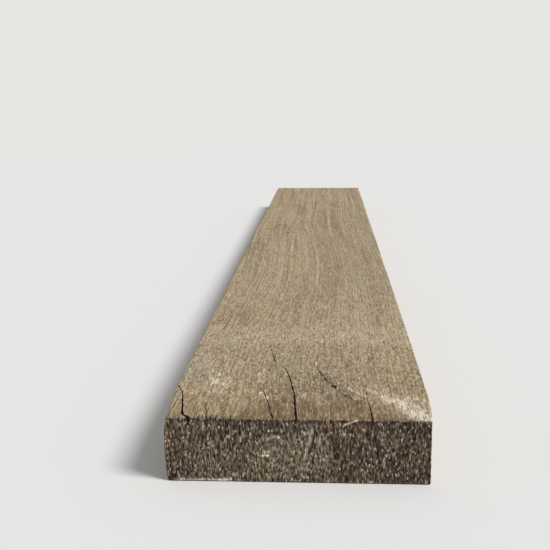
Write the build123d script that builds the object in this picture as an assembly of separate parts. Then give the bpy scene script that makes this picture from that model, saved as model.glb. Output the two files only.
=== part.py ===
from build123d import *

import os

# A rough-sawn, pressure-treated timber plank that has weathered outdoors. It is one sawn piece.
# Millimetres. X runs across the plank, Y along it and Z up through its thickness.
# The origin is the centre of the plank on the face that it lies on.
# The near end, at the lowest Y, is the weathered one: its two sides are worn back in plan,
# and drying checks run into it from the top.

# Sawn sizes
LENGTH = 2400.0
WIDTH = 305.0
THICKNESS = 75.0

# Wear of the two sides towards the near end
SIDE_WEAR = 4.8  # how far each side stands in at the near end
LEFT_WEAR_LENGTH = 130.0  # how far back from the near end the wear reaches
RIGHT_WEAR_LENGTH = 105.0

# The left side is crowned in section, and the right one is as flat as the saw left it
CROWN_HEIGHT = 47.0  # of the crown's outermost point
CROWN_TOP_INSET = 3.0
CROWN_FOOT_INSET = 3.2

# Worn arrises
TOP_ARRIS_RADIUS = 2.5
FOOT_ARRIS_RADIUS = 2.0

NEAR_END = -LENGTH / 2
FAR_END = LENGTH / 2
TOP = THICKNESS
UNDERSIDE = 0.0
CUT_MARGIN = 12.0  # how far a cutting solid runs past the plank


def at(across, from_end, height=0.0):
    """A point given by its place across the plank and its distance from the near end."""
    return Vector(across, NEAR_END + from_end, height)


def sawn_blank():
    """The plank as it left the saw."""
    return Box(WIDTH, LENGTH, THICKNESS, align=(Align.CENTER, Align.CENTER, Align.MIN))


def worn_side_path(hand, wear_length):
    """The plan line of a side's outermost point: straight from the far end, then one long arc in.
    hand is -1 for the left side and 1 for the right one."""
    radius = (wear_length**2 + SIDE_WEAR**2) / (2 * SIDE_WEAR)
    run = wear_length + CUT_MARGIN
    inset = radius - (radius**2 - run**2) ** 0.5
    bend = at(hand * WIDTH / 2, wear_length)
    straight = Line(Vector(bend.X, FAR_END + CUT_MARGIN), bend)
    worn = TangentArc(bend, at(hand * (WIDTH / 2 - inset), -CUT_MARGIN), tangent=straight % 1)
    return Wire([straight.edge(), worn.edge()])


def side_cutter_section(hand, top_inset, foot_inset):
    """What lies outside a side, drawn across the start of the side's path.
    The insets say how far the side's two corners stand in from its outermost point. A flat side has none."""
    side_x = hand * WIDTH / 2
    outside_x = side_x + hand * CUT_MARGIN
    crown = (side_x, CROWN_HEIGHT)
    top_corner = (side_x - hand * top_inset, TOP)
    foot_corner = (side_x - hand * foot_inset, UNDERSIDE)
    with BuildSketch(Plane.XZ.offset(-(FAR_END + CUT_MARGIN))) as section:
        with BuildLine():
            if top_inset:
                TangentArc(crown, top_corner, tangent=(0, 1))
            else:
                Line(crown, top_corner)
            if foot_inset:
                TangentArc(crown, foot_corner, tangent=(0, -1))
            else:
                Line(crown, foot_corner)
            Polyline(
                top_corner,
                (top_corner[0], TOP + CUT_MARGIN),
                (outside_x, TOP + CUT_MARGIN),
                (outside_x, UNDERSIDE - CUT_MARGIN),
                (foot_corner[0], UNDERSIDE - CUT_MARGIN),
                foot_corner,
            )
        make_face()
    return section.sketch


def wear_side(plank, hand, wear_length, top_inset=0.0, foot_inset=0.0):
    """The plank with one side brought to its worn shape."""
    section = side_cutter_section(hand, top_inset, foot_inset)
    return plank - sweep(section, path=worn_side_path(hand, wear_length))


def arrises(plank, height):
    """The edges along the plank where its sides meet its top or its underside."""
    level = plank.edges().filter_by_position(Axis.Z, height, height, inclusive=(True, True))
    return level.filter_by(lambda edge: abs((edge % 0.5).Y) > 0.9)


def check_section(across, from_end, face_height, mouth, depth, lean):
    """The V of a check at one place along it: a mouth on the face, and a root that leans across by lean."""
    outward = 1 if face_height == TOP else -1
    rise = mouth  # how far the V runs on past the face, with its walls straight
    half_width = mouth / 2 * (1 + rise / depth)
    lip = face_height + outward * rise
    root = at(across + lean, from_end, face_height - outward * depth)
    left_lip = at(across - half_width - lean * rise / depth, from_end, lip)
    right_lip = at(across + half_width - lean * rise / depth, from_end, lip)
    return Face(Wire.make_polygon([left_lip, right_lip, root]))


def size_share(progress, start_share, tip_share):
    """What is left of a check's size at a place along it. Progress is 0 where it starts and 1 where it dies
    out. It is widest where it starts, or halfway along if start_share is less than 1."""
    widest = 0.0 if start_share == 1.0 else 0.5
    if progress < widest:
        return start_share + (1 - start_share) * progress / widest
    return 1 - (1 - tip_share) * (progress - widest) / (1 - widest)


def check(path, mouth, depth, lean=0.0, face_height=TOP, start_share=1.0, tip_share=0.15):
    """A drying check as a thin wedge. path holds its places along the grain, as (across, from the near end).
    Its mouth, depth and lean are those of its widest place, and start_share and tip_share say
    what is left of them where it starts and where it dies out."""
    start = path[0][1]
    tip = path[-1][1]
    sections = []
    for across, from_end in path:
        share = size_share((from_end - start) / (tip - start), start_share, tip_share)
        sections.append(
            check_section(across, from_end, face_height, mouth * share, depth * share, lean * share)
        )
    return loft(sections, ruled=True)


def checks():
    """The open checks, each from the near end inwards. The first reaches the left side, so its tip stays
    open, and the diagonal one starts and ends within the top."""
    corner = check(
        [(-118, -1), (-121, 5), (-127, 11), (-130, 27), (-134, 56), (-139, 84), (-146, 106), (-154, 126)],
        mouth=3.0,
        depth=10,
        tip_share=0.4,
    )
    heart = check(
        [(0, -1), (-3, 42), (-5, 80), (-9, 112), (-13, 144), (-19, 178), (-25, 188), (-33, 199), (-36, 216),
         (-41, 250), (-47, 285)],
        mouth=2.8,
        depth=13,
        lean=-4,
        tip_share=0.3,
    )
    inner = check(
        [(-25, -1), (-29, 17), (-32, 36), (-35, 57), (-38, 70), (-43, 96)],
        mouth=2.0,
        depth=8,
        lean=-2,
        tip_share=0.5,
    )
    diagonal = check(
        [(57, 72), (51, 88), (46, 100), (41, 112), (38, 121), (32, 137), (28, 152), (23, 173), (19, 192)],
        mouth=2.2,
        depth=8,
        lean=-2,
        start_share=0.5,
        tip_share=0.4,
    )
    outer = check(
        [(83, -1), (82, 39), (80, 63), (80, 95), (80, 128)],
        mouth=2.1,
        depth=9,
        lean=-1,
    )
    underside = check(
        [(-71, -1), (-71, 30), (-74, 70)],
        mouth=3.4,
        depth=7,
        face_height=UNDERSIDE,
    )
    return [corner, heart, inner, diagonal, outer, underside]


plank = sawn_blank()
plank = wear_side(plank, -1, LEFT_WEAR_LENGTH, CROWN_TOP_INSET, CROWN_FOOT_INSET)
plank = wear_side(plank, 1, RIGHT_WEAR_LENGTH)
plank = fillet(arrises(plank, TOP), TOP_ARRIS_RADIUS)
plank = fillet(arrises(plank, UNDERSIDE), FOOT_ARRIS_RADIUS)
for cutter in checks():
    plank = plank - cutter

os.makedirs("parts", exist_ok=True)
export_step(plank, "parts/plank.step")
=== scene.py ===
import math
from functools import partial, reduce
from itertools import chain, pairwise, product
from typing import NamedTuple

import bmesh
import bpy
import numpy as np
from mathutils import Matrix, Vector
from mathutils.geometry import delaunay_2d_cdt


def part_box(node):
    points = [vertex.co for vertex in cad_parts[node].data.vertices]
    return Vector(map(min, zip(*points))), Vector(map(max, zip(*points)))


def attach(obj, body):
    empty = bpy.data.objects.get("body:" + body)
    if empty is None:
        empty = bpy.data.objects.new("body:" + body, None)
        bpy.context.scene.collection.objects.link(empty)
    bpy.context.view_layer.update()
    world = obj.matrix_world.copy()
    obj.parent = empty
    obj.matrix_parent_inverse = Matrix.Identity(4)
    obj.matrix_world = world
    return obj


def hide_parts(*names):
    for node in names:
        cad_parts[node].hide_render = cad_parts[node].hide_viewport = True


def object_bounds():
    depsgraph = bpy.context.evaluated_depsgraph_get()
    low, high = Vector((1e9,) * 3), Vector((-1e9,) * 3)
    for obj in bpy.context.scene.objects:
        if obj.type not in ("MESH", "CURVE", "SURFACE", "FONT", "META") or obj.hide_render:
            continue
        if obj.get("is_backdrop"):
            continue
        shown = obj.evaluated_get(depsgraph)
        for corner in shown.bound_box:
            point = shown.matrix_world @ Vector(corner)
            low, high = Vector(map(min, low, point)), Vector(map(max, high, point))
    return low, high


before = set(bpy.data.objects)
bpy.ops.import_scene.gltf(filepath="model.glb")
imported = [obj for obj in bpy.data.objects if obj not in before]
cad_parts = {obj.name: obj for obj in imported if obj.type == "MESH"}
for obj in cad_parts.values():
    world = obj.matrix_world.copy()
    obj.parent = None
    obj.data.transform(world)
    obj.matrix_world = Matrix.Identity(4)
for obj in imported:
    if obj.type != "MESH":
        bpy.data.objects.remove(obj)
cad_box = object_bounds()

# The weathered plank, with its relief, grain, checks and colours.
# Lengths are millimetres until a mesh is made. A place is (x, from the near end, z), where x and z are
# those of the row frame.

MM = 0.001

# The plank's size and its near end's place in the row frame, from its CAD box
LOW, HIGH = (np.array(corner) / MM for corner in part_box("plank"))
WIDTH, LENGTH, TOP = HIGH - LOW
NEAR_END = np.array([0, LOW[1], 0])

# The worn shape of the solid
SIDE_WEAR = 4.8
LEFT_WEAR_LENGTH = 130.0
RIGHT_WEAR_LENGTH = 105.0
CROWN_HEIGHT = 47.0
CROWN_TOP_INSET = 3.0
CROWN_FOOT_INSET = 3.2
TOP_ARRIS = 2.5
FOOT_ARRIS = 2.0
END_ARRIS = 1.2  # the edges round the two ends, which the weather has taken

# Steps of the mesh
TOP_STEPS = 188
UNDER_STEPS = 62
SIDE_STEPS = 40
ARRIS_STEPS = 4
END_STEPS = 3
FINE_ROW = 2.6
FINE_STRETCH = 330.0  # from the near end, where the relief is in the mesh
COARSE_ROW = 60.0
ROW_GROWTH = 1.13
NEAR_END_SPACING = 1.1
FAR_END_SPACING = 3.0
INSIDE_ONLY = 1  # the kind of triangulation that fills an outline and no more
MERGED_UNDER = 1e-4  # points nearer each other than this become one

# The tree: the line of its heart along the plank, its rings and its taper
HEART_X = -29.0
HEART_HEIGHT = 38.0
RING_WIDTH = 5.7
TAPER = 0.007  # how much nearer the heart a ring lies for each millimetre along the plank
BAND_START = (0.42, 0.82)  # where a ring's hard band comes in, as a share of the ring
BAND_END = (0.93, 1.0)

# Weathering, as how far it takes the wood down
GROOVE_DEPTH = 0.35  # between the hard bands of the rings, on the top
LONG_FIBRE_DEPTH = 0.12
SHORT_FIBRE_DEPTH = 0.16
WAVE_DEPTH = 0.1
CHIP_DEPTH = 1.4  # along the arrises
RAGGED_DEPTH = 0.9  # round the edges of the ends
END_PIT_DEPTH = 1.5
END_SPLIT_DEPTH = 1.6
END_WAVE_DEPTH = 0.35
FAR_END_SHARE = 0.35  # how rough the far end is, next to the near one
DEEPEST_AT_ARRIS = 1.2  # less than an arris's radius, so that its surface never folds over

# The materials' places in the plank's slots
LONG_GRAIN, END_GRAIN, CHECK_WALL = range(3)

# Noise, from slopes at the points of a lattice that repeats
SEED = 11
LATTICE_SIZE = 61
LAYER_SHIFT = 17.3  # cells of the lattice from one layer of noise to the next
STEADY = 1e4  # a size along an axis that the noise hardly changes along
NOISE_GAIN = 1.7  # brings the noise's reach to about 1
SLOPES = np.random.default_rng(SEED).normal(size=(LATTICE_SIZE,) * 3 + (3,))
SLOPES /= np.linalg.norm(SLOPES, axis=-1, keepdims=True)


def smooth_step(value, low, high):
    """0 below low, 1 above high and a smooth rise between them."""
    t = np.clip((value - low) / (high - low), 0, 1)
    return t * t * (3 - 2 * t)


def noise(places, size, layer=0):
    """Smooth noise round 0, seldom past -1 or 1, whose features have the given size. Layers differ."""
    at = places / np.array(size) + LAYER_SHIFT * (layer + 1)
    cell = np.floor(at).astype(int)
    part = at - cell
    share = smooth_step(part, 0, 1)
    total = np.zeros(len(places))
    for corner in product((0, 1), repeat=3):
        weight = np.prod(np.where(corner, share, 1 - share), axis=1)
        slope = SLOPES[tuple(((cell + corner) % LATTICE_SIZE).T)]
        total += weight * np.sum(slope * (part - corner), axis=1)
    return NOISE_GAIN * total


def arc_inset(distance, reach, inset):
    """How far an arc stands in at a distance along it, if it stands in by inset at its reach."""
    radius = (reach**2 + inset**2) / (2 * inset)
    return radius - np.sqrt(radius**2 - np.clip(distance, 0, reach) ** 2)


def side_x(hand, height, from_end):
    """The worn side's x. hand is -1 for the left side and 1 for the right one."""
    wear_length = LEFT_WEAR_LENGTH if hand < 0 else RIGHT_WEAR_LENGTH
    inset = arc_inset(wear_length - from_end, wear_length, SIDE_WEAR)
    inset = inset + arc_inset(height - TOP + TOP_ARRIS, TOP_ARRIS, TOP_ARRIS)
    inset = inset + arc_inset(FOOT_ARRIS - height, FOOT_ARRIS, FOOT_ARRIS)
    if hand < 0:
        inset = inset + arc_inset(height - CROWN_HEIGHT, TOP - CROWN_HEIGHT, CROWN_TOP_INSET)
        inset = inset + arc_inset(CROWN_HEIGHT - height, CROWN_HEIGHT, CROWN_FOOT_INSET)
    return hand * (WIDTH / 2 - inset)


def from_heart(places):
    """Each place as (across, along, up) from the heart's line, which wanders as the tree grew."""
    along = places[:, 1]
    heart_x = HEART_X + 9 * np.sin(along / 410) - 4 * np.sin(along / 173)
    heart_z = HEART_HEIGHT + 7 * np.sin(along / 530 + 0.4) - 7 * math.sin(0.4)
    heart_z = heart_z + 2.5 * np.sin(along / 140)
    return np.stack([places[:, 0] - heart_x, along, places[:, 2] - heart_z], axis=1)


def ring_count(places):
    """How many years' rings lie between the heart and each place."""
    grain = from_heart(places)
    radius = np.hypot(grain[:, 0], grain[:, 2])
    radius = radius + 2.6 * noise(places, (42, 700, 42)) + 0.7 * noise(places, (13, 240, 13), layer=1)
    radius = radius + TAPER * places[:, 1]
    uneven = noise(np.outer(radius, (1, 0, 0)), (19, 1, 1), layer=2)
    return np.clip(radius / RING_WIDTH + 0.55 * uneven, 0, None)


def hard_band(rings):
    """1 on the hard dark band at the end of each year's ring, 0 on the soft wood."""
    phase = rings % 1
    return smooth_step(phase, *BAND_START) * (1 - smooth_step(phase, *BAND_END))


def row_places():
    """How far the mesh's rows are from the near end: closer near it and round the edges of the ends."""
    turn = np.linspace(0, math.pi / 2, END_STEPS + 1)
    edge = END_ARRIS * (1 - np.cos(turn))
    rows = list(np.arange(END_ARRIS + FINE_ROW, FINE_STRETCH, FINE_ROW))
    step = FINE_ROW
    while rows[-1] + 1.6 * step < LENGTH - END_ARRIS:
        step = min(step * ROW_GROWTH, COARSE_ROW)
        rows.append(rows[-1] + step)
    rows = [row for row in rows if row < LENGTH - END_ARRIS - step / 2]
    return np.concatenate([edge, rows, LENGTH - edge[::-1]])


def side_heights():
    """Heights of the mesh's lines down a side, closer together round the two arrises."""
    turn = np.linspace(0, math.pi / 2, ARRIS_STEPS + 1)
    top_arris = TOP - TOP_ARRIS * (1 - np.cos(turn))
    foot_arris = FOOT_ARRIS * (1 - np.cos(turn))[::-1]
    flat = np.linspace(top_arris[-1], foot_arris[0], SIDE_STEPS + 1)[1:-1]
    return np.concatenate([top_arris, flat, foot_arris])


def skin_depth(places, normals):
    """How far the saw and the weather took the four long faces down."""
    x, from_end, height = places.T
    end_distance = np.minimum(from_end, LENGTH - from_end)
    left, right = (side_x(hand, CROWN_HEIGHT, from_end) for hand in (-1, 1))
    corner = np.hypot(np.minimum(x - left, right - x), np.minimum(TOP - height, height))
    top_side = np.clip(normals[:, 2], 0, 1)
    near = 1 - smooth_step(from_end, FINE_STRETCH * 0.7, FINE_STRETCH)
    soft = 1 - hard_band(ring_count(places))
    worn_soft = 0.5 + 0.7 * noise(places, (20, 90, 20), layer=10)
    grooves = GROOVE_DEPTH * (0.35 + 0.65 * top_side) * soft * worn_soft
    fibres = LONG_FIBRE_DEPTH * (1 + noise(places, (2.2, 30, 2.2), layer=3))
    fibres = fibres + SHORT_FIBRE_DEPTH * (1 + noise(places, (3.6, 10, 3.6), layer=11))
    waves = WAVE_DEPTH * (1 + noise(places, (60, 240, 60), layer=4))
    ding = smooth_step(noise(places, (8, 21, 8), layer=5), 0.2, 0.7)
    chips = CHIP_DEPTH * ding * (1 - smooth_step(corner, 2, 8))
    ragged = RAGGED_DEPTH * smooth_step(noise(places, (3, 12, 3), layer=12), -0.3, 0.6)
    ragged = ragged * (1 - smooth_step(end_distance, 0.5, 5))
    end_edge = arc_inset(END_ARRIS - end_distance, END_ARRIS, END_ARRIS)
    depth = near * (grooves + fibres) + waves + chips + ragged + end_edge
    return np.minimum(depth, DEEPEST_AT_ARRIS + 0.5 * np.maximum(corner - TOP_ARRIS, 0))


def end_pits(places):
    """0 on the tufts of an end and 1 in the pits between them, which follow the rings in places."""
    grain = from_heart(places)
    radius = np.hypot(grain[:, 0], grain[:, 2])
    rings = ring_count(places)
    round_rings = np.stack([rings, grain[:, 0], grain[:, 2]], axis=1)
    strokes = noise(round_rings, (0.4, 7, 7), layer=9) * smooth_step(radius, 30, 70)
    flecks = noise(places, (2.3, STEADY, 4.6), layer=6)
    ringed = np.maximum(0.4 * smooth_step(radius, 30, 60), ringed_mask(places))
    bands = (hard_band(rings) - 0.4) * ringed
    return smooth_step(0.95 * flecks + 0.45 * strokes - 0.5 * bands, -0.8, 0.5)


def end_split(places):
    """1 along the shallow split that runs down the near end from the outer check."""
    x, from_end, height = places.T
    wander = 0.8 * noise(places, (STEADY, STEADY, 9), layer=18)
    return band_mask(x + wander, height, END_SPLIT) * (from_end < LENGTH / 2)


def pit_shade_mask(places):
    """1 in the pits and the split of an end, where its colour gets painted shade."""
    return np.maximum(end_pits(places), end_split(places))


def end_depth(places):
    """How far the saw and the weather took an end back. The near one is the rougher."""
    x, from_end, height = places.T
    rough = np.where(from_end < LENGTH / 2, 1.0, FAR_END_SHARE)
    waves = END_WAVE_DEPTH * (1 + noise(places, (34, STEADY, 26), layer=7))
    sides = np.minimum(x - side_x(-1, height, from_end), side_x(1, height, from_end) - x)
    rim = np.minimum.reduce([sides, TOP - height, height])
    torn = END_PIT_DEPTH * end_pits(places) + END_SPLIT_DEPTH * end_split(places) + waves
    return rough * torn * smooth_step(rim, -0.4, 1.4)


def skin():
    """The points round the four long faces, as an array of rows, columns and coordinates."""
    rows = row_places()[:, None]
    heights = side_heights()
    left = side_x(-1, heights, rows)
    right = side_x(1, heights, rows)
    top = left[:, :1] + (right - left)[:, :1] * np.linspace(0, 1, TOP_STEPS + 1)
    under = right[:, -1:] + (left - right)[:, -1:] * np.linspace(0, 1, UNDER_STEPS + 1)
    x = np.concatenate([top, right[:, 1:-1], under, left[:, -2:0:-1]], axis=1)
    z = np.concatenate(
        [np.full(TOP_STEPS + 1, TOP), heights[1:-1], np.zeros(UNDER_STEPS + 1), heights[-2:0:-1]]
    )
    points = np.stack(np.broadcast_arrays(x, rows, z), axis=-1)
    across = np.roll(points, -1, axis=1) - np.roll(points, 1, axis=1)
    normals = np.cross(across, np.gradient(points, axis=0))
    normals /= np.linalg.norm(normals, axis=-1, keepdims=True)
    depth = skin_depth(points.reshape(-1, 3), normals.reshape(-1, 3)).reshape(points.shape[:2])
    return points - normals * depth[..., None]


def end_face(rim, from_end, spacing, seed):
    """An end's inner points and its triangles, which number the rim's points first and then the inner
    ones. Seen from the near side, the triangles turn anticlockwise."""
    scatter = np.random.default_rng(seed)
    columns = np.arange(-WIDTH / 2, WIDTH / 2, spacing)
    levels = np.arange(spacing * 0.6, TOP, spacing)
    grid = np.reshape(np.meshgrid(columns, levels), (2, -1))
    x, z = grid + scatter.uniform(-0.35, 0.35, grid.shape) * spacing
    margin = END_ARRIS + 0.5 * spacing
    inside = (x > side_x(-1, z, from_end) + margin) & (x < side_x(1, z, from_end) - margin)
    inside &= (z > margin) & (z < TOP - margin)
    inner = np.stack([x, np.full(len(x), from_end), z], axis=1)[inside]
    flat = [Vector((p[0], p[2])) for p in np.concatenate([rim, inner])]
    outline = list(range(len(rim)))[::-1]
    _, _, triangles, original, _, _ = delaunay_2d_cdt(flat, [], [outline], INSIDE_ONLY, MERGED_UNDER)
    inward = 1 if from_end < LENGTH / 2 else -1
    inner[:, 1] += inward * end_depth(inner)
    return inner, [[original[corner][0] for corner in triangle] for triangle in triangles]


def plank_faces():
    """The points, faces and material places of the whole plank, before its checks are opened."""
    points = skin()
    rows, columns = points.shape[:2]
    number = np.arange(rows * columns).reshape(rows, columns)
    following = np.roll(number, -1, axis=1)
    quads = np.stack([number[:-1], following[:-1], following[1:], number[1:]], axis=-1)
    places, faces = points.reshape(-1, 3), quads.reshape(-1, 4).tolist()
    slots = np.full(len(faces), LONG_GRAIN)
    round_an_end = (END_STEPS - 1) * columns
    slots[:round_an_end] = END_GRAIN
    slots[-round_an_end:] = END_GRAIN
    # Each end's row, place, spacing and the turn of its triangles
    ends = ((0, 0.0, NEAR_END_SPACING, 1), (-1, LENGTH, FAR_END_SPACING, -1))
    for seed, (row, from_end, spacing, turn) in enumerate(ends, SEED + 1):
        inner, triangles = end_face(points[row], from_end, spacing, seed)
        numbers = [*number[row].tolist(), *range(len(places), len(places) + len(inner))]
        faces += [[numbers[corner] for corner in triangle[::turn]] for triangle in triangles]
        slots = np.append(slots, np.full(len(triangles), END_GRAIN))
        places = np.concatenate([places, inner])
    return places, faces, slots


def to_row(places):
    """Places in millimetres from the near end, as the row frame's metres."""
    return (places + NEAR_END) * MM


def mesh_places(data):
    """The points of a mesh as places in millimetres from the near end."""
    coordinates = np.empty(len(data.vertices) * 3)
    data.vertices.foreach_get("co", coordinates)
    return coordinates.reshape(-1, 3) / MM - NEAR_END


def new_object(name, data):
    """A new object in the scene."""
    made = bpy.data.objects.new(name, data)
    bpy.context.collection.objects.link(made)
    return made


# Checks


class Check(NamedTuple):
    """A check's places along the grain as (x, from the near end), then its sizes where it is widest."""

    line: list
    mouth: float
    depth: float
    lean: float = 0.0
    start_share: float = 1.0  # what is left of its sizes where it starts
    tip_share: float = 0.15  # and where it dies out
    uneven: float = 0.6  # how much its width comes and goes
    flare: float = 0.0  # how much wider it is at the near end's edge
    face_height: float = TOP  # of the face that it opens


OUTSIDE = -3  # where a cutting wedge starts, before the near end

CORNER_LINE = [
    (-117, OUTSIDE), (-121, 5), (-127, 11), (-130, 27), (-134, 56), (-139, 84), (-146, 106), (-154, 126),
]
HEART_LINE = [
    (0, OUTSIDE), (-3, 42), (-5, 80), (-9, 112), (-13, 144), (-19, 178), (-25, 188), (-33, 199),
    (-36, 216), (-41, 250), (-47, 285),
]
INNER_LINE = [(-25, OUTSIDE), (-29, 17), (-32, 36), (-35, 57), (-38, 70), (-43, 96)]
DIAGONAL_LINE = [
    (57, 72), (51, 88), (46, 100), (41, 112), (38, 121), (32, 137), (28, 152), (23, 173), (19, 192),
]
OUTER_LINE = [(83, OUTSIDE), (82, 39), (80, 63), (80, 95), (80, 128)]
UNDERSIDE_LINE = [(-71, OUTSIDE), (-71, 30), (-74, 70)]
HAIRLINE = [(-99, OUTSIDE), (-103, 27), (-107, 50)]
PIT_LINE = [(43, 107), (41.5, 112), (40, 117)]  # the widest place of the diagonal check
COMPANION_LINE = [(63, 62), (60, 74), (56, 84)]  # beside the diagonal check

LARGE_CHECKS = (
    Check(CORNER_LINE, 3, 10, tip_share=0.4, flare=0.8),
    Check(HEART_LINE, 2.8, 13, -4, tip_share=0.3, uneven=0.8),
    Check(INNER_LINE, 2, 8, -2, tip_share=0.5, uneven=1),
    Check(DIAGONAL_LINE, 2.2, 8, -2, start_share=0.5, tip_share=0.4, uneven=1.3),
    Check(OUTER_LINE, 2.1, 9, -1, uneven=0.4),
    Check(HAIRLINE, 1.5, 6, tip_share=0.4),
    Check(UNDERSIDE_LINE, 3.4, 7, face_height=0),
)
SMALL_CHECKS = (
    Check(PIT_LINE, 8.5, 9, start_share=0.6, tip_share=0.6, uneven=0),
    Check(COMPANION_LINE, 2.4, 6, start_share=0.5, tip_share=0.4),
)

# A row of short splits in the top edge, at the left
SHORT_SPLITS = range(-114, -72, 5)
SPLIT_RANGES = ((-1.2, 1.2), (5, 16), (1.4, 2.5), (4, 9))  # of their shift, length, mouth and depth

# The shallow split down the near end's face, as (x, height, half width)
END_SPLIT = ((79, 74, 0.7), (84, 58, 0.9), (88, 46, 1.1), (90, 18, 1.2), (85, 0, 1.8))

CHECK_STEP = 2.5  # along a check
CHECK_LEVELS = 5  # down each wall
CHECK_RISE = 3.0  # how far a cutting wedge stands out of the face

# The first layers of noise for the walls of the two cutters' wedges, and how many each wedge takes
LARGE_CHECKS_LAYER = 20
SMALL_CHECKS_LAYER = 60
WEDGE_LAYERS = 3

# The bake's map, in pixels
MAP_SIZE = 1024
MAP_GAP = 8
NEAR_DETAIL = 0.74  # for each millimetre along, up to NEAR_DETAIL_LENGTH
FAR_DETAIL = 0.35
NEAR_DETAIL_LENGTH = 400.0  # millimetres
WALL_DETAIL = 1.0

# Where each face starts in the map, and its pixels for each millimetre across
CHARTS = {
    "top": (8, 1.34),
    "under": (425, 0.5),
    "left": (586, 0.9),
    "right": (662, 0.9),
    "ends": (738, 1.75),
}
WALLS_START = 880
FAR_END_START = 560  # along the map, beside the near end
FAR_END_DETAIL = 1.3


class Shelf:
    def __init__(self):
        self.x, self.y, self.row_height = MAP_GAP, WALLS_START, 0

    def place(self, width, height):
        """The low corner of the next free place of this size."""
        if self.x + width > MAP_SIZE:
            self.x, self.y, self.row_height = MAP_GAP, self.y + self.row_height + MAP_GAP, 0
        corner = np.array([self.x, self.y])
        self.x += width + MAP_GAP
        self.row_height = max(self.row_height, height)
        return corner


def along_map(from_end):
    """Pixels along the bake's map at a distance from the near end."""
    near = np.minimum(from_end, NEAR_DETAIL_LENGTH)
    return MAP_GAP + NEAR_DETAIL * near + FAR_DETAIL * (from_end - near)


def check_shares(count, start_share, tip_share):
    """What is left of a check's size at its places. It is widest at its start, or halfway along."""
    widest = 0.0 if start_share == 1.0 else 0.5
    return np.interp(np.linspace(0, 1, count), [0, widest, 1], [start_share, 1, tip_share])


def wedge_sections(check, layer):
    """A check's sections, as an array of places along it, points round each V and coordinates."""
    outward = 1 if check.face_height == TOP else -1
    line = np.array(check.line, float)
    stations = np.arange(line[0, 1], line[-1, 1], CHECK_STEP)
    along = np.outer(stations, (0, 1, 0))
    x = np.interp(stations, line[:, 1], line[:, 0])
    x = x + 0.4 * noise(along, (1, 11, 1), layer) + 0.3 * noise(along, (1, 4, 1), layer + 1)
    shares = check_shares(len(stations), check.start_share, check.tip_share)[:, None]
    width = np.clip(1 + check.uneven * noise(along, (1, 7, 1), layer + 2), 0.2, 2)[:, None]
    flare = 1 + check.flare * (1 - smooth_step(stations, 6, 18))
    width = check.mouth * shares * width * flare[:, None]
    deep = check.depth * shares
    side = np.concatenate([-np.ones(CHECK_LEVELS), np.ones(CHECK_LEVELS + 1)])
    level = 1 - np.abs(np.linspace(-1, 1, 2 * CHECK_LEVELS + 1))
    down = level * (deep + CHECK_RISE) - CHECK_RISE
    middle = x[:, None] + check.lean * shares * down / deep
    half = width / 2 * (1 - np.maximum(down, 0) / deep)
    height = check.face_height - outward * down
    return np.stack(np.broadcast_arrays(middle + side * half, stations[:, None], height), axis=-1)


def wedge(mesh, uv_layer, shelf, check, layer):
    """Adds the solid that a check is cut with: a thin wedge along its line, with uneven walls."""
    sections = wedge_sections(check, layer)
    last, turns = sections.shape[0] - 1, sections.shape[1] - 1
    step = np.array([CHECK_STEP * NEAR_DETAIL, 2 * (check.depth + CHECK_RISE) / turns * WALL_DETAIL])
    corner = shelf.place(*(step * (last, turns)))
    rings = [[mesh.verts.new(place) for place in to_row(section)] for section in sections]

    def add_face(corners, coordinates):
        face = mesh.faces.new(corners)
        face.material_index = CHECK_WALL
        for loop, place in zip(face.loops, coordinates):
            loop[uv_layer].uv = place / MAP_SIZE

    for i, k in product(range(last), range(turns)):
        square = ((i, k), (i + 1, k), (i + 1, k + 1), (i, k + 1))
        add_face([rings[a][b] for a, b in square], [corner + step * place for place in square])
    for first, second in pairwise(rings):
        add_face([first[0], first[-1], second[-1], second[0]], [corner] * 4)
    # The caps lie beside the walls in the map
    level = turns / 2 - np.abs(np.arange(turns + 1) - turns / 2)
    slant = np.where(np.arange(turns + 1) > turns / 2, (turns / 2 - level) / turns, 0) * MAP_GAP / 2
    for i, aside in ((0, -1), (last, 1)):
        cap = [corner + step * (i, low) + (aside * out, 0) for low, out in zip(level, slant)]
        add_face(rings[i], cap)


def short_splits():
    """The row of short splits, of uneven sizes."""
    spread = np.random.default_rng(SEED + 3)
    lows, highs = zip(*SPLIT_RANGES)
    for x in SHORT_SPLITS:
        shift, length, mouth, depth = spread.uniform(lows, highs)
        yield Check([(x + shift, OUTSIDE), (x + shift, length)], mouth, depth)


def check_cutter(checks, shelf, first_layer):
    """One object holding the wedges of checks that don't cross each other."""
    mesh = bmesh.new()
    uv_layer = mesh.loops.layers.uv.new("OFBake")
    for number, check in enumerate(checks):
        wedge(mesh, uv_layer, shelf, check, first_layer + WEDGE_LAYERS * number)
    bmesh.ops.recalc_face_normals(mesh, faces=mesh.faces)
    data = bpy.data.meshes.new("check_cutter")
    mesh.to_mesh(data)
    mesh.free()
    return new_object("check_cutter", data)


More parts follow.
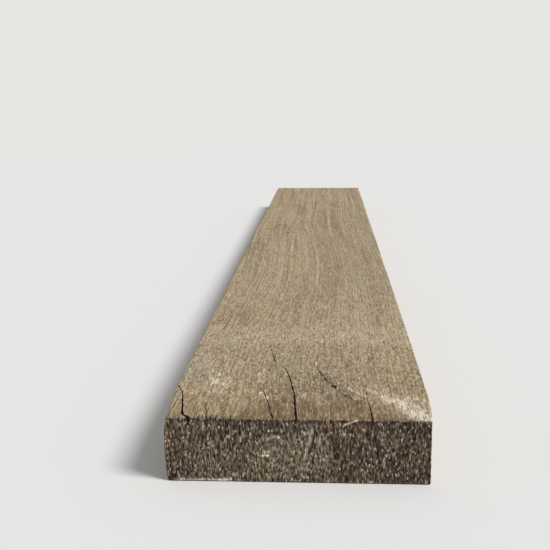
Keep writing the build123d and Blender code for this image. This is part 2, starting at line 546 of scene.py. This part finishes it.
def lay_out_map(data, slots):
    """Lays the plank's faces out in the bake's map, with more of it for the near end and the top."""
    layer = data.uv_layers.new(name="OFBake")
    starts, totals = np.array([(polygon.loop_start, polygon.loop_total) for polygon in data.polygons]).T
    face_of_loop = np.repeat(np.arange(len(starts)), totals)
    vertex = np.empty(len(data.loops), int)
    data.loops.foreach_get("vertex_index", vertex)
    corners = mesh_places(data)[vertex]
    x, from_end, height = corners.T
    centres = np.add.reduceat(corners, starts, axis=0) / totals[:, None]
    centre_x, centre_y, centre_z = centres[face_of_loop].T
    is_end = (slots == END_GRAIN)[face_of_loop]
    is_near = centre_y < LENGTH / 2
    is_top = centre_z > TOP - TOP_ARRIS * 0.5
    is_under = centre_z < FOOT_ARRIS * 0.5
    across, along = x + WIDTH / 2, along_map(from_end)
    top, under, left, right, ends = CHARTS.values()
    choices = [
        (is_end & is_near, MAP_GAP + across * ends[1], ends[0] + height * ends[1]),
        (is_end & ~is_near, FAR_END_START + across * FAR_END_DETAIL, ends[0] + height * FAR_END_DETAIL),
        (is_top, along, top[0] + across * top[1]),
        (is_under, along, under[0] + across * under[1]),
        (centre_x < 0, along, left[0] + height * left[1]),
        (centre_x >= 0, along, right[0] + height * right[1]),
    ]
    masks, u, v = zip(*choices)
    pixels = np.stack([np.select(masks, u), np.select(masks, v)], axis=1)
    layer.data.foreach_set("uv", (pixels / MAP_SIZE).ravel())


# Weathered colour, as masks over the plank

# A band is a row of (across, along, half width), and a spot is (across, along, radius, strength). Along
# is the distance from the near end on the top, and the height on the end's face.

# Bleached bands on the top, each after its strength
PALE_BANDS = (
    (1, ((109, 66, 12), (117, 53, 19), (127, 38, 25), (135, 21, 23), (142, 5, 20))),
    (0.8, ((85, 98, 7), (94, 86, 12), (108, 63, 16))),
    (0.62, ((88, 116, 12), (106, 92, 22), (126, 66, 28), (142, 38, 32))),
    (0.9, ((59, 109, 2.5), (62, 99, 4.5), (70, 88, 5), (80, 76, 5))),
    (0.5, ((-35, 220, 1.2), (-26, 212, 2.2), (-15, 203, 1.4))),
    (0.9, ((-54, 166, 1.8), (-52, 145, 2.4), (-50, 122, 1.8))),
)

# Bleached spots on the top, which are long along the grain
PALE_SPOTS = (
    (-112, 166, 3.4, 1.1), (-102, 153, 3.6, 1.2), (-90, 142, 3.4, 1.1), (-104, 124, 6.5, 1.5),
    (-94, 116, 4, 1.1), (-110, 136, 3, 1), (-100, 118, 28, 0.7), (-128, 140, 20, 0.4),
    (-53, 159, 3.6, 0.9), (-50, 128, 4.4, 1), (-46, 84, 4.4, 1.1), (-37, 71, 4.2, 1.1),
    (-36, 60, 3.4, 1), (5, 78, 4.4, 1), (3, 160, 3.4, 0.5), (19, 206, 2.4, 0.9),
    (128, 145, 3, 0.9),
)

# Fresh wood on the near end
FRESH_CHIPS = (
    ((50, 67, 0.6), (59, 71, 0.9), (66, 74, 1.3)),
    ((-38.5, 31, 1.2), (-30.5, 31.5, 1)),
    ((-36, 36, 0.8), (-35.3, 31.5, 1.5)),
)
FRAYED_EDGE = ((-136, 1.6, 1.2), (-112, 1.2, 2.4), (-75, 2, 2.2))
LIFTED_SLIVERS = (
    ((-103, 75, 1), (-103, 59, 0.8)),
    ((92, 63, 0.9), (94, 54, 1.3), (93.5, 46, 0.9)),
    ((97, 33, 0.8), (95.5, 25, 1.2), (96, 20, 0.8)),
)
FRESH_SPOTS = (
    (-31, 36, 2.5, 1), (-147, 52, 2.5, 1), (-70, 8, 2.4, 1), (-73, 3, 2.2, 1),
    (9, 58, 2.5, 1), (29, 27, 2.5, 1), (33, 31, 2, 1), (-20, 53, 2.5, 1),
)

# Where the top is brownest
BROWN_BANDS = (
    ((-60, 0, 10), (-22, 40, 26), (8, 32, 22), (28, 16, 20), (62, 45, 22), (72, 12, 22), (96, 0, 14)),
    ((3, 70, 2.5), (5, 0, 4)),
)
BROWN_SPOTS = ((10, 40, 16, 1), (67, 56, 9, 1.2), (71, 34, 12, 1), (57, 80, 4, 1.1), (-16, 5, 16, 0.9))

# Where the top is dullest, and where it is greyest
DULL_BANDS = (
    ((-18, 8, 18), (-22, 55, 22), (-12, 95, 26), (24, 105, 34), (46, 75, 28), (24, 155, 26)),
    ((-134, 3, 24), (-141, 22, 10)),
)
DULL_SPOTS = (
    (44, 114, 18, 0.25), (38, 86, 14, 0.25), (-14, 114, 14, 0.25), (-14, 58, 16, 0.25),
    (12, 30, 16, 0.25), (-100, 44, 20, 0.25),
)
GREY_BAND = ((-140, 120, 16), (-128, 210, 30), (-100, 290, 34))

# Pieces of rings that stand out on the near end, pale ones and dark ones
PALE_RINGS = (
    ((17, 65, 1.2), (16, 58, 1.9), (13.5, 47, 2), (11, 38, 1.7), (8, 28, 1.2)),
    ((26, 57, 0.8), (25, 48, 1.3), (23, 39, 1)),
    ((-34, 48, 1), (-29, 53, 1.4), (-21, 54, 1.4), (-15, 49, 1)),
    ((-42, 47, 0.8), (-38, 52, 1.1), (-33, 51, 0.8)),
)
DARK_RINGS = (
    ((20, 67, 1), (20, 57, 1.4), (17.5, 45, 1.3), (15, 35, 1)),
    ((43, 52, 1.2), (43, 40, 2), (42, 28, 1.4)),
    ((-40, 56, 1), (-30, 58, 1.3), (-18, 58, 1)),
)

# The end's darker band, and its darker and paler spots
SHADED_BAND = ((-80, 70, 10), (-45, 66, 14), (-24, 66, 12), (-6, 64, 12))
SHADED_SPOTS = (
    (-134, 9, 24, 1), (-136, 30, 15, 0.8), (-134, 63, 13, 0.6), (-72, 46, 16, 0.6),
    (-44, 48, 12, 0.5), (-72, 13, 12, 0.4), (104, 22, 16, 0.55), (132, 44, 12, 0.55),
    (104, 64, 13, 0.55), (12, 62, 18, 0.65), (13, 38, 14, 0.3), (72, 29, 13, 0.65),
    (44, 12, 12, 0.55), (73, 10, 12, 0.3),
)
PALER_SPOTS = (
    (-110, 10, 15, 1), (-95, 10, 13, 1), (-100, 44, 14, 1), (-46, 12, 14, 1),
    (73, 63, 15, 1), (102, 45, 13, 1), (73, 12, 14, 1), (131, 27, 13, 1),
)

# The end's reddest band and its greyest spots
RUSTY_BAND = ((34, 72, 12), (46, 42, 18), (60, 8, 18))
COLD_SPOTS = (
    (-142, 8, 20, 1), (116, 18, 28, 1), (132, 50, 24, 1), (-58, 68, 12, 1),
    (0, 70, 12, 1),
)

# A strip of painted sunlight across the top, lighter than the wood before it, from the near end
LIT_STRIP_START, LIT_STRIP_END = 294.0, 384.0

SHOULDER = TOP - 6.0  # the height down to which the sides have the top's colours
END_REACH = 5.0  # how far the marks of the near end's face go along the plank


def band_mask(across, along, *bands):
    """1 along the bands, with soft edges."""
    mask = np.zeros(len(across))
    for (x0, y0, half0), (x1, y1, half1) in chain.from_iterable(map(pairwise, bands)):
        run = np.array([x1 - x0, y1 - y0], float)
        part = np.clip(((across - x0) * run[0] + (along - y0) * run[1]) / (run @ run), 0, 1)
        distance = np.hypot(across - x0 - part * run[0], along - y0 - part * run[1])
        half = half0 + (half1 - half0) * part
        mask = np.maximum(mask, 1 - smooth_step(distance / half, 0.1, 1.5))
    return mask


def spot_mask(across, along, spots, stretch=1.0):
    """Each spot's strength in its middle, with a soft edge. The spots may be stretched along."""
    mask = np.zeros(len(across))
    for spot_x, spot_y, radius, strength in spots:
        distance = np.hypot(across - spot_x, (along - spot_y) / stretch)
        mask = np.maximum(mask, strength * (1 - smooth_step(distance / radius, 0.2, 1.2)))
    return mask


def pale_mask(places):
    """1 where the sun and the rain have bleached the wood pale, or where fibres have just torn."""
    x, from_end, height = places.T
    on_top = smooth_step(height, TOP - 3.5, TOP - 1.5) * smooth_step(from_end, 0.3, 1.2)
    bands = [strength * band_mask(x, from_end, band) for strength, band in PALE_BANDS]
    top = np.maximum.reduce([*bands, spot_mask(x, from_end, PALE_SPOTS, 2.4)]) * on_top
    tufts = smooth_step(noise(places, (2.4, STEADY, 2.4), layer=16), -0.3, 0.3)
    fibres = smooth_step(noise(places, (1.5, STEADY, 2.6), layer=25), -0.15, 0.3)
    fringe = band_mask(x, height, FRAYED_EDGE) * (0.15 + 0.5 * tufts)
    slivers = 0.7 * band_mask(x, height, *LIFTED_SLIVERS) * tufts
    spots = spot_mask(x, height, FRESH_SPOTS) * (0.3 + 0.7 * fibres)
    end = np.maximum.reduce([fringe, spots, slivers, band_mask(x, height, *FRESH_CHIPS)])
    return np.maximum(top, end * (from_end < END_REACH))


def brown_mask(places):
    """1 where the damp from the end has browned the top."""
    x, from_end, height = places.T
    blotches = 0.35 + 0.65 * smooth_step(noise(places, (14, 30, 14), layer=17), -0.6, 0.4)
    bands = band_mask(x, from_end, *BROWN_BANDS) * blotches
    return np.maximum(bands, spot_mask(x, from_end, BROWN_SPOTS, 1.4)) * (height > SHOULDER)


def grey_mask(places):
    """1 where the top has gone greyest."""
    x, from_end, height = places.T
    return band_mask(x, from_end, GREY_BAND) * (height > SHOULDER)


def dull_mask(places):
    """1 where the top is dullest, between the two longest checks, and less round about."""
    x, from_end, height = places.T
    uneven = 0.78 + 0.5 * noise(places, (12, 40, 12), layer=22)
    wide = 0.52 * smooth_step(x, -75, -30) * (1 - smooth_step(from_end, 150, 350))
    wide = wide * (1 - 0.5 * smooth_step(x, 65, 100))
    dull = np.maximum(band_mask(x, from_end, *DULL_BANDS), wide) * uneven
    return np.clip(dull + spot_mask(x, from_end, DULL_SPOTS, 1.3), 0, 1) * (height > SHOULDER)


def warm_mask(places):
    """1 near the near end, where the top is yellowest."""
    x, from_end, height = places.T
    reach = 75 + 25 * noise(places, (40, STEADY, 40), layer=23) + 70 * smooth_step(x, 60, 120)
    return (1 - smooth_step(from_end / reach, 0.4, 1.5)) * (height > SHOULDER)


def lined_mask(places):
    """1 at the near end, where the weather has opened fine dark lines along the top's fibres."""
    _, from_end, height = places.T
    reach = 60 + 30 * noise(places, (26, STEADY, STEADY), layer=20)
    edge = 0.8 * (1 - smooth_step(from_end, 2, 14))
    return (1 - smooth_step(from_end / reach, 0.1, 1.8) + edge) * (height > SHOULDER)


def plain_mask(places):
    """1 far from the near end, where the long faces still show their figure."""
    from_end = places[:, 1] + 90 * noise(places, (30, 260, 30), layer=24)
    return 0.12 + 0.88 * smooth_step(from_end, 100, 1000)


def lit_strip_mask(places):
    """1 on a strip across the top that is painted lighter, as sunlight falling there."""
    x, from_end, height = places.T
    from_end = from_end + 5 * noise(places, (30, STEADY, 30), layer=19) + 0.03 * x
    kept = smooth_step(from_end, LIT_STRIP_START - 6, LIT_STRIP_START + 6)
    kept = kept * (1 - smooth_step(from_end, LIT_STRIP_END - 14, LIT_STRIP_END + 14))
    return kept * (height > SHOULDER)


def heartwood_mask(places):
    """1 round the end's middle, where it is greyer and paler, and less in a few spots."""
    x, _, height = places.T
    middle = 1 - smooth_step(np.hypot(x + 5, 1.4 * (height - 36)), 15, 70)
    return np.maximum(middle, 0.55 * spot_mask(x, height, PALER_SPOTS))


def shaded_mask(places):
    """1 where the end is darkest: towards the right, above the heart's left and in the darker spots."""
    x, _, height = places.T
    right = smooth_step(x + 14 * noise(places, (40, STEADY, 30), layer=21), 15, 60)
    right = right * (0.7 + 0.3 * smooth_step(x, 80, 120))
    right = right * (1 - 0.6 * spot_mask(x, height, PALER_SPOTS))
    left = 0.95 * band_mask(x, height, SHADED_BAND)
    return np.clip(np.maximum(right, left) + spot_mask(x, height, SHADED_SPOTS), 0, 1.3)


def hue_mask(places):
    """1 where the end is reddest and -1 where it is greyest."""
    x, _, height = places.T
    placed = band_mask(x, height, RUSTY_BAND) - spot_mask(x, height, COLD_SPOTS)
    return np.clip(0.6 * placed + 0.9 * noise(places, (15, STEADY, 11), layer=27), -1, 1)


def ringed_mask(places):
    """1 beside the heart, where the end shows its rings."""
    x, _, height = places.T
    return 1 - smooth_step(np.hypot(x - 15, 0.5 * (height - 45)), 5, 22)


def ring_pieces(places):
    """1 on the pale pieces of rings that stand out on the near end and -1 on the dark ones."""
    x, from_end, height = places.T
    broken = 0.75 + 0.75 * noise(places, (3, STEADY, 5), layer=26)
    pieces = band_mask(x, height, *PALE_RINGS) - band_mask(x, height, *DARK_RINGS)
    return pieces * np.clip(broken, 0, 1) * (from_end < END_REACH)


# What the materials need to know at each point of the mesh
MASKS = {
    "ring": ring_count,
    "grain": from_heart,
    "pale": pale_mask,
    "brown": brown_mask,
    "grey": grey_mask,
    "dull": dull_mask,
    "warm": warm_mask,
    "lined": lined_mask,
    "sticker": lit_strip_mask,
    "heartwood": heartwood_mask,
    "shaded": shaded_mask,
    "hue": hue_mask,
    "ringed": ringed_mask,
    "ring_piece": ring_pieces,
    "pit": pit_shade_mask,
    "plain": plain_mask,
}


def paint_masks(data):
    """Stores the masks on the mesh, as numbers or vectors."""
    places = mesh_places(data)
    for name, mask in MASKS.items():
        values = mask(places)
        kind, field = ("FLOAT", "value") if values.ndim == 1 else ("FLOAT_VECTOR", "vector")
        data.attributes.new(name, kind, "POINT").data.foreach_set(field, values.ravel())


# Cutting


def cut(plank, cutters):
    """Takes the cutters out of the plank."""
    for cutter in cutters:
        for material in plank.data.materials:
            cutter.data.materials.append(material)
        modifier = plank.modifiers.new("checks", "BOOLEAN")
        modifier.operation = "DIFFERENCE"
        modifier.solver = "EXACT"
        modifier.object = cutter
    shown = plank.evaluated_get(bpy.context.evaluated_depsgraph_get())
    plank_data = bpy.data.meshes.new_from_object(shown)
    plank.modifiers.clear()
    plank.data = plank_data
    for cutter in cutters:
        bpy.data.objects.remove(cutter)


def drop_doubled_faces(mesh):
    """Takes out the slivers that the cuts leave: pairs of faces back to back on the same corners."""
    single = {}
    doubled = []
    for face in mesh.faces:
        corners = frozenset(face.verts)
        if corners in single:
            doubled += [face, single.pop(corners)]
        else:
            single[corners] = face
    bmesh.ops.delete(mesh, geom=doubled, context="FACES")


SHARP_ANGLE = 55.0  # degrees between two faces, from which their edge looks sharp


def mend(data):
    """Rids the cut mesh of faces with many corners and of slivers, and shades it smooth."""
    mesh = bmesh.new()
    mesh.from_mesh(data)
    bmesh.ops.triangulate(mesh, faces=[face for face in mesh.faces if len(face.verts) > 4])
    drop_doubled_faces(mesh)
    mesh.to_mesh(data)
    mesh.free()
    data.polygons.foreach_set("use_smooth", np.ones(len(data.polygons), bool))
    data.set_sharp_from_angle(angle=math.radians(SHARP_ANGLE))


def build_plank():
    """The plank, with its checks cut and its masks stored."""
    places, faces, slots = plank_faces()
    data = bpy.data.meshes.new("weathered_plank")
    data.from_pydata(to_row(places).tolist(), [], faces)
    data.polygons.foreach_set("material_index", slots)
    lay_out_map(data, slots)
    plank = new_object("weathered_plank", data)
    for material in (long_grain_material(), end_grain_material(), check_wall_shade_material()):
        data.materials.append(material)
    shelf = Shelf()
    large_cutter = check_cutter(LARGE_CHECKS, shelf, LARGE_CHECKS_LAYER)
    small_cutter = check_cutter([*SMALL_CHECKS, *short_splits()], shelf, SMALL_CHECKS_LAYER)
    cut(plank, [large_cutter, small_cutter])
    mend(plank.data)
    paint_masks(plank.data)
    return plank


# Materials

# The places of a mix node's colours among its sockets
BASE, SHADE, RESULT = 6, 7, 2


class Nodes:
    """Short calls that add nodes to a material or a world. A value is a plain one, a socket to link, or
    the name of a mask on the mesh."""

    def __init__(self, owner):
        owner.use_nodes = True
        self.owner = owner
        self.tree = owner.node_tree
        self.tree.nodes.clear()

    def add(self, kind, inputs, output=0, **settings):
        """One output of a new shader node."""
        node = self.tree.nodes.new("ShaderNode" + kind)
        for name, value in settings.items():
            setattr(node, name, value)
        for key, value in inputs.items():
            if isinstance(value, str):
                value = self.stored(value, "Fac")
            if isinstance(value, bpy.types.NodeSocket):
                self.tree.links.new(value, node.inputs[key])
            else:
                node.inputs[key].default_value = value
        return node.outputs[output]

    def stored(self, name, output):
        """What is stored on the mesh."""
        return self.add("Attribute", {}, output, attribute_name=name)

    def grain(self, scale):
        """Places from the heart's line, scaled across, along and up."""
        places = self.stored("grain", "Vector")
        return self.add("VectorMath", {0: places, 1: scale}, operation="MULTIPLY")

    def math(self, operation, a, b=0.0):
        """The result of one operation on one or two values."""
        return self.add("Math", {0: a, 1: b}, operation=operation)

    def noise(self, scale, detail=3.0, roughness=0.6):
        """Noise over the grain, round a half."""
        inputs = {"Vector": self.grain(scale), "Scale": 1.0, "Detail": detail, "Roughness": roughness}
        return self.add("TexNoise", inputs)

    def flecks(self, scale, bare):
        """Flecks over the grain, up to 1 in their middles. The share bare of them doesn't show."""
        inputs = {"Vector": self.grain(scale), "Scale": 1.0}
        distance = self.add("TexVoronoi", inputs, "Distance")
        chance = self.add("SeparateColor", {0: distance.node.outputs["Color"]}, "Red")
        return self.product(self.step(chance, bare, 1.0), self.step(distance, 0.2, 0.7, 1.0, 0.0))

    def step(self, value, low, high, to_low=0.0, to_high=1.0):
        """A smooth rise of value from low to high, onto to_low to to_high."""
        inputs = {"Value": value, "From Min": low, "From Max": high, "To Min": to_low, "To Max": to_high}
        return self.add("MapRange", inputs, interpolation_type="SMOOTHSTEP")

    def product(self, *values):
        """The values multiplied together."""
        return reduce(partial(self.math, "MULTIPLY"), values)

    def total(self, *values):
        """The values added together."""
        return reduce(partial(self.math, "ADD"), values)

    def rest(self, *values):
        """What the product of the values leaves of 1."""
        return self.math("SUBTRACT", 1.0, self.product(*values))

    def layers(self, base, *layers, blend="MIX"):
        """The base colour under layers, each a shade and its factors: values or a step's inputs."""
        colour = base if isinstance(base, bpy.types.NodeSocket) else (*base, 1.0)
        for shade, *factors in layers:
            values = [self.step(*factor) if isinstance(factor, tuple) else factor for factor in factors]
            inputs = {"Factor": self.product(*values), BASE: colour, SHADE: (*shade, 1.0)}
            colour = self.add("Mix", inputs, RESULT, data_type="RGBA", blend_type=blend)
        return colour

    def hard_band(self, blur):
        """The rings' hard bands, with their edges made uneven by a noise."""
        uneven = self.product(self.math("SUBTRACT", blur, 0.5), 0.35)
        phase = self.math("FRACT", self.total("ring", uneven))
        return self.product(self.step(phase, *BAND_START), self.step(phase, *BAND_END, 1.0, 0.0))

    def finish(self, colour, roughness, specular, *bumps):
        """The material, with its surface made. A bump is (height, its depth in metres)."""
        inputs = {"Base Color": colour, "Roughness": roughness, "Specular IOR Level": specular}
        normal = {}
        for height, depth in bumps:
            raised = {"Height": height, "Distance": depth, **normal}
            normal = {"Normal": self.add("Bump", raised)}
        self.add_output(self.add("BsdfPrincipled", {**inputs, **normal}))
        return self.owner

    def add_output(self, shader, kind="Material"):
        """Makes the shader what the material or the world shows."""
        output = self.tree.nodes.new("ShaderNodeOutput" + kind)
        self.tree.links.new(shader, output.inputs["Surface"])


def long_grain_material():
    """The four long faces: tan wood gone grey, speckled at the near end and streaked beyond it."""
    nodes = Nodes(bpy.data.materials.new("weathered_long_grain"))
    fibre = nodes.noise((0.5, 0.028, 0.5), 4.0, 0.75)
    strand = nodes.noise((0.17, 0.006, 0.17))
    line = nodes.noise((0.4, 0.01, 0.4))
    speckle = nodes.noise((0.45, 0.1, 0.45), 5.0, 0.8)
    mottle = nodes.noise((0.11, 0.035, 0.11), 4.0, 0.7)
    patch = nodes.noise((0.014, 0.004, 0.014), 4.0, 0.65)
    streak = nodes.noise((0.045, 0.0012, 0.045))
    long_strand = nodes.noise((0.11, 0.0016, 0.11), 3.0, 0.65)
    blush = nodes.noise((0.03, 0.014, 0.03))

    spotty = nodes.rest("plain", 0.6)
    lined = nodes.step("lined", 0.0, 1.0)
    opened = nodes.math("SUBTRACT", "lined", nodes.step(line, 0.38, 0.56))
    band = nodes.hard_band(strand)
    banding = nodes.total(nodes.product("plain", 0.35), 0.25)
    ridges = nodes.product(band, nodes.total(nodes.product("plain", 0.7), 0.3))
    bleached = nodes.step("pale", 0.0, 0.3)
    streaky = nodes.total(nodes.product(mottle, 0.5), nodes.product(fibre, 0.9))
    haze = nodes.step(nodes.total("pale", streaky), 0.9, 1.8)
    clumps = nodes.product(nodes.math("SUBTRACT", mottle, 0.5), 0.5)
    flecks = nodes.total(speckle, clumps, nodes.product("pale", 0.3))
    specked = nodes.product(spotty, nodes.rest(lined, 0.3))
    lit = nodes.product(specked, nodes.rest("brown", 0.5))

    colour = nodes.layers(
        (0.36, 0.265, 0.155),
        ((0.43, 0.33, 0.205), (strand, 0.35, 0.65)),
        ((0.23, 0.165, 0.1), band, banding),
        ((0.25, 0.19, 0.125), (streak, 0.36, 0.5, 0.6, 0.0)),
        ((0.5, 0.415, 0.285), (streak, 0.52, 0.64, 0.0, 0.5)),
        ((0.19, 0.14, 0.09), "plain", (long_strand, 0.36, 0.48, 0.75, 0.0)),
        ((0.56, 0.46, 0.315), "plain", (long_strand, 0.52, 0.64, 0.0, 0.6)),
        ((0.4, 0.325, 0.22), (patch, 0.45, 0.62, 0.0, 0.6)),
        ((0.43, 0.285, 0.185), (blush, 0.5, 0.66, 0.0, 0.55)),
        ((0.375, 0.32, 0.24), "grey", 0.5),
        ((0.2, 0.145, 0.085), spotty, (mottle, 0.34, 0.5, 0.45, 0.0)),
        ((0.6, 0.48, 0.305), spotty, (mottle, 0.52, 0.66, 0.0, 0.45)),
        # painted sunlight: a lighter strip across the top
        ((0.52, 0.42, 0.28), "sticker", 0.42),
        ((0.375, 0.255, 0.125), "warm", 0.56),
        ((0.175, 0.13, 0.08), "dull", 0.9),
        ((0.12, 0.082, 0.05), (opened, 0.0, 1.0, 0.0, 0.75)),
        ((0.56, 0.41, 0.235), lined, (line, 0.54, 0.66, 0.0, 0.5)),
        ((0.16, 0.09, 0.04), "brown", 0.9),
        ((0.61, 0.515, 0.405), haze, bleached, 0.62),
        ((0.89, 0.79, 0.63), (flecks, 0.71, 0.86), bleached),
        ((0.13, 0.093, 0.056), (fibre, 0.36, 0.5, 0.7, 0.0)),
        ((0.59, 0.47, 0.3), (fibre, 0.51, 0.66, 0.0, 0.55)),
        ((0.095, 0.064, 0.037), specked, (speckle, 0.38, 0.47, 1.0, 0.0)),
        ((0.75, 0.605, 0.38), lit, (speckle, 0.53, 0.63, 0.0, 0.95)),
    )
    strands = nodes.product(long_strand, "plain")
    specks = nodes.product(speckle, spotty)
    return nodes.finish(
        colour, 0.9, 0.25, (ridges, 0.0005), (strands, 0.0012), (fibre, 0.0006), (specks, 0.0008)
    )


def end_grain_material():
    """The two ends: dark, furry with torn fibres, and darkest in the pits of the soft wood, where the
    darkness is painted shade. Painted shade also lies between the tufts and in the hollows, and pale
    fibre tips carry painted highlights.
    """
    nodes = Nodes(bpy.data.materials.new("weathered_end_grain"))
    tuft = nodes.noise((0.42, 0.0, 0.17), 4.0, 0.75)
    stain = nodes.noise((0.016, 0.0, 0.03))
    blush = nodes.noise((0.12, 0.0, 0.07))
    algae = nodes.noise((0.035, 0.0, 0.05), 4.0, 0.7)
    # The pale flecks are fibre tips, partly painted highlights as of sun catching them; the darkest
    # flecks are painted shade in the hollows
    light = nodes.flecks((0.58, 0.0, 0.19), 0.1)
    stroke = nodes.flecks((0.46, 0.0, 0.085), 0.4)
    pale_tips_and_glints = nodes.flecks((0.55, 0.0, 0.3), 0.84)
    hollow_shade = nodes.flecks((0.53, 0.0, 0.16), 0.0)

    band = nodes.hard_band(tuft)
    clumps = nodes.step(nodes.noise((0.055, 0.0, 0.045)), 0.4, 0.6, 0.5, 1.0)
    thick = nodes.product(clumps, nodes.rest("shaded", 0.2))
    yellow = nodes.product(nodes.step(algae, 0.44, 0.66), nodes.rest("shaded", 0.7))

    colour = nodes.layers(
        (0.135, 0.094, 0.064),
        ((0.19, 0.139, 0.095), (stain, 0.35, 0.65)),
        ((0.19, 0.107, 0.075), (blush, 0.4, 0.6, 0.0, 0.5)),
        ((0.345, 0.28, 0.2), "heartwood", 0.85),
        ((0.08, 0.049, 0.035), "shaded", 0.75),
        ((0.125, 0.125, 0.065), (algae, 0.48, 0.66, 0.0, 0.6)),
        ((0.55, 0.44, 0.32), "ringed", nodes.math("SUBTRACT", 0.75, band)),
        ((0.06, 0.045, 0.032), "ringed", band),
        # painted shade in the pits and the split
        ((0.028, 0.019, 0.013), ("pit", 0.5, 0.95, 0.0, 0.7)),
        # painted shade between the tufts
        ((0.022, 0.015, 0.011), (tuft, 0.385, 0.5, 0.97, 0.0)),
        ((0.36, 0.28, 0.19), stroke, thick, 0.7),
        # pale fibre tips, partly painted highlights
        ((0.63, 0.5, 0.365), light, thick),
        # painted shade in the hollows, then painted highlights on the brightest fibre tips
        ((0.012, 0.008, 0.006), hollow_shade),
        ((0.78, 0.68, 0.53), pale_tips_and_glints, 0.9),
        ((0.47, 0.39, 0.295), ("ring_piece", 0.05, 0.8)),
        ((0.03, 0.021, 0.015), ("ring_piece", -0.8, -0.05, 0.9, 0.0)),
    )
    colour = nodes.layers(
        colour,
        ((1.0, 0.92, 0.87), ("hue", 0.0, 1.0)),
        ((0.95, 0.91, 1.0), ("hue", -1.0, 0.0, 1.0, 0.0)),
        ((1.0, 0.975, 0.87), yellow),
        blend="MULTIPLY",
    )
    colour = nodes.layers(colour, ((0.9, 0.81, 0.68), "pale"))
    relief = nodes.math("SUBTRACT", light, hollow_shade)
    return nodes.finish(colour, 0.95, 0.2, (tuft, 0.0008), (relief, 0.0007))


def check_wall_shade_material():
    """Inside the checks: brown fibres over near-black painted shade, as where no sun reaches."""
    nodes = Nodes(bpy.data.materials.new("check_walls_painted_shade"))
    fibre = nodes.noise((0.6, 0.03, 0.6), 4.0, 0.7)
    colour = nodes.layers((0.02, 0.014, 0.01), ((0.075, 0.053, 0.036), fibre))
    return nodes.finish(colour, 0.95, 0.2, (fibre, 0.0004))


# Stage

PALE = (0.80, 0.79, 0.77)  # the floor's and the background's colour
FLOOR_RADIUS = 8.0  # metres
FLOOR_SIDES = 96
FLOOR_FADE = (3.5, 7.0)  # metres from the middle of the plank, where the floor fades out
SKY_COLOUR = (0.94, 0.97, 1.0)
SKY_STRENGTH = 0.4
KEY_FROM = (0.62, -0.26, 0.74)  # the direction that the key light comes from
KEY_STRENGTH = 2.6
KEY_SPREAD = 22.0  # degrees that the lamp spans


def pale_floor():
    """A plain pale floor that fades out far from the plank, so that it has no edge."""
    bpy.ops.mesh.primitive_circle_add(vertices=FLOOR_SIDES, radius=FLOOR_RADIUS, fill_type="NGON")
    floor = bpy.context.object
    floor.name = "floor"
    nodes = Nodes(bpy.data.materials.new("pale_floor"))
    place = nodes.add("TexCoord", {}, "Object")
    distance = nodes.add("VectorMath", {0: place}, "Value", operation="LENGTH")
    matt = nodes.add("BsdfDiffuse", {"Color": (*PALE, 1.0)})
    clear = nodes.add("BsdfTransparent", {})
    faded = {0: nodes.step(distance, *FLOOR_FADE), 1: matt, 2: clear}
    nodes.add_output(nodes.add("MixShader", faded))
    floor.data.materials.append(nodes.owner)
    floor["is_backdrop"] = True


def sky():
    """Soft light from all round, and a pale background where it is seen directly or in a reflection."""
    world = bpy.data.worlds.new("studio")
    bpy.context.scene.world = world
    nodes = Nodes(world)
    rays = nodes.add("LightPath", {}).node.outputs
    seen = nodes.math("MAXIMUM", rays["Is Camera Ray"], rays["Is Glossy Ray"])
    light = nodes.add("Background", {"Color": (*SKY_COLOUR, 1.0), "Strength": SKY_STRENGTH})
    backdrop = nodes.add("Background", {"Color": (*PALE, 1.0)})
    choice = nodes.add("MixShader", {0: seen, 1: light, 2: backdrop})
    nodes.add_output(choice, "World")


def key_lamp():
    """A soft lamp from the right, the front and above."""
    data = bpy.data.lights.new("key_lamp", "SUN")
    data.energy = KEY_STRENGTH
    data.angle = math.radians(KEY_SPREAD)
    lamp = new_object("key_lamp", data)
    lamp.rotation_euler = (-Vector(KEY_FROM)).to_track_quat("-Z", "Y").to_euler()


# The camera stands where the photograph's did
CAMERA_PLACE = (31.5, -904.8, 422.3)
CAMERA_YAW = -3.39  # degrees, to the right of straight along the plank
CAMERA_PITCH = -11.66
CAMERA_ROLL = -0.52
CAMERA_LENS = 57.4
CAMERA_SENSOR = 36.0


def place_camera():
    """Puts the camera where it looks along the plank's top from before the near end."""
    data = bpy.data.cameras.new("camera")
    data.sensor_width = CAMERA_SENSOR
    data.lens = CAMERA_LENS
    camera = new_object("camera", data)
    yaw = Matrix.Rotation(math.radians(-CAMERA_YAW), 3, "Z")
    pitch = Matrix.Rotation(math.radians(90 + CAMERA_PITCH), 3, "X")
    roll = Matrix.Rotation(math.radians(CAMERA_ROLL), 3, "Z")
    place = Matrix.Translation(to_row(np.array(CAMERA_PLACE)))
    camera.matrix_world = place @ (yaw @ pitch @ roll).to_4x4()
    bpy.context.scene.camera = camera


place_camera()
plank = build_plank()
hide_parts("plank")
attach(plank, "root")
pale_floor()
sky()
key_lamp()
bpy.context.scene.view_settings.view_transform = "Standard"

boxes = {"cad": cad_box, "visual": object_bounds()}
{name: [list(corner) for corner in box] for name, box in boxes.items()}
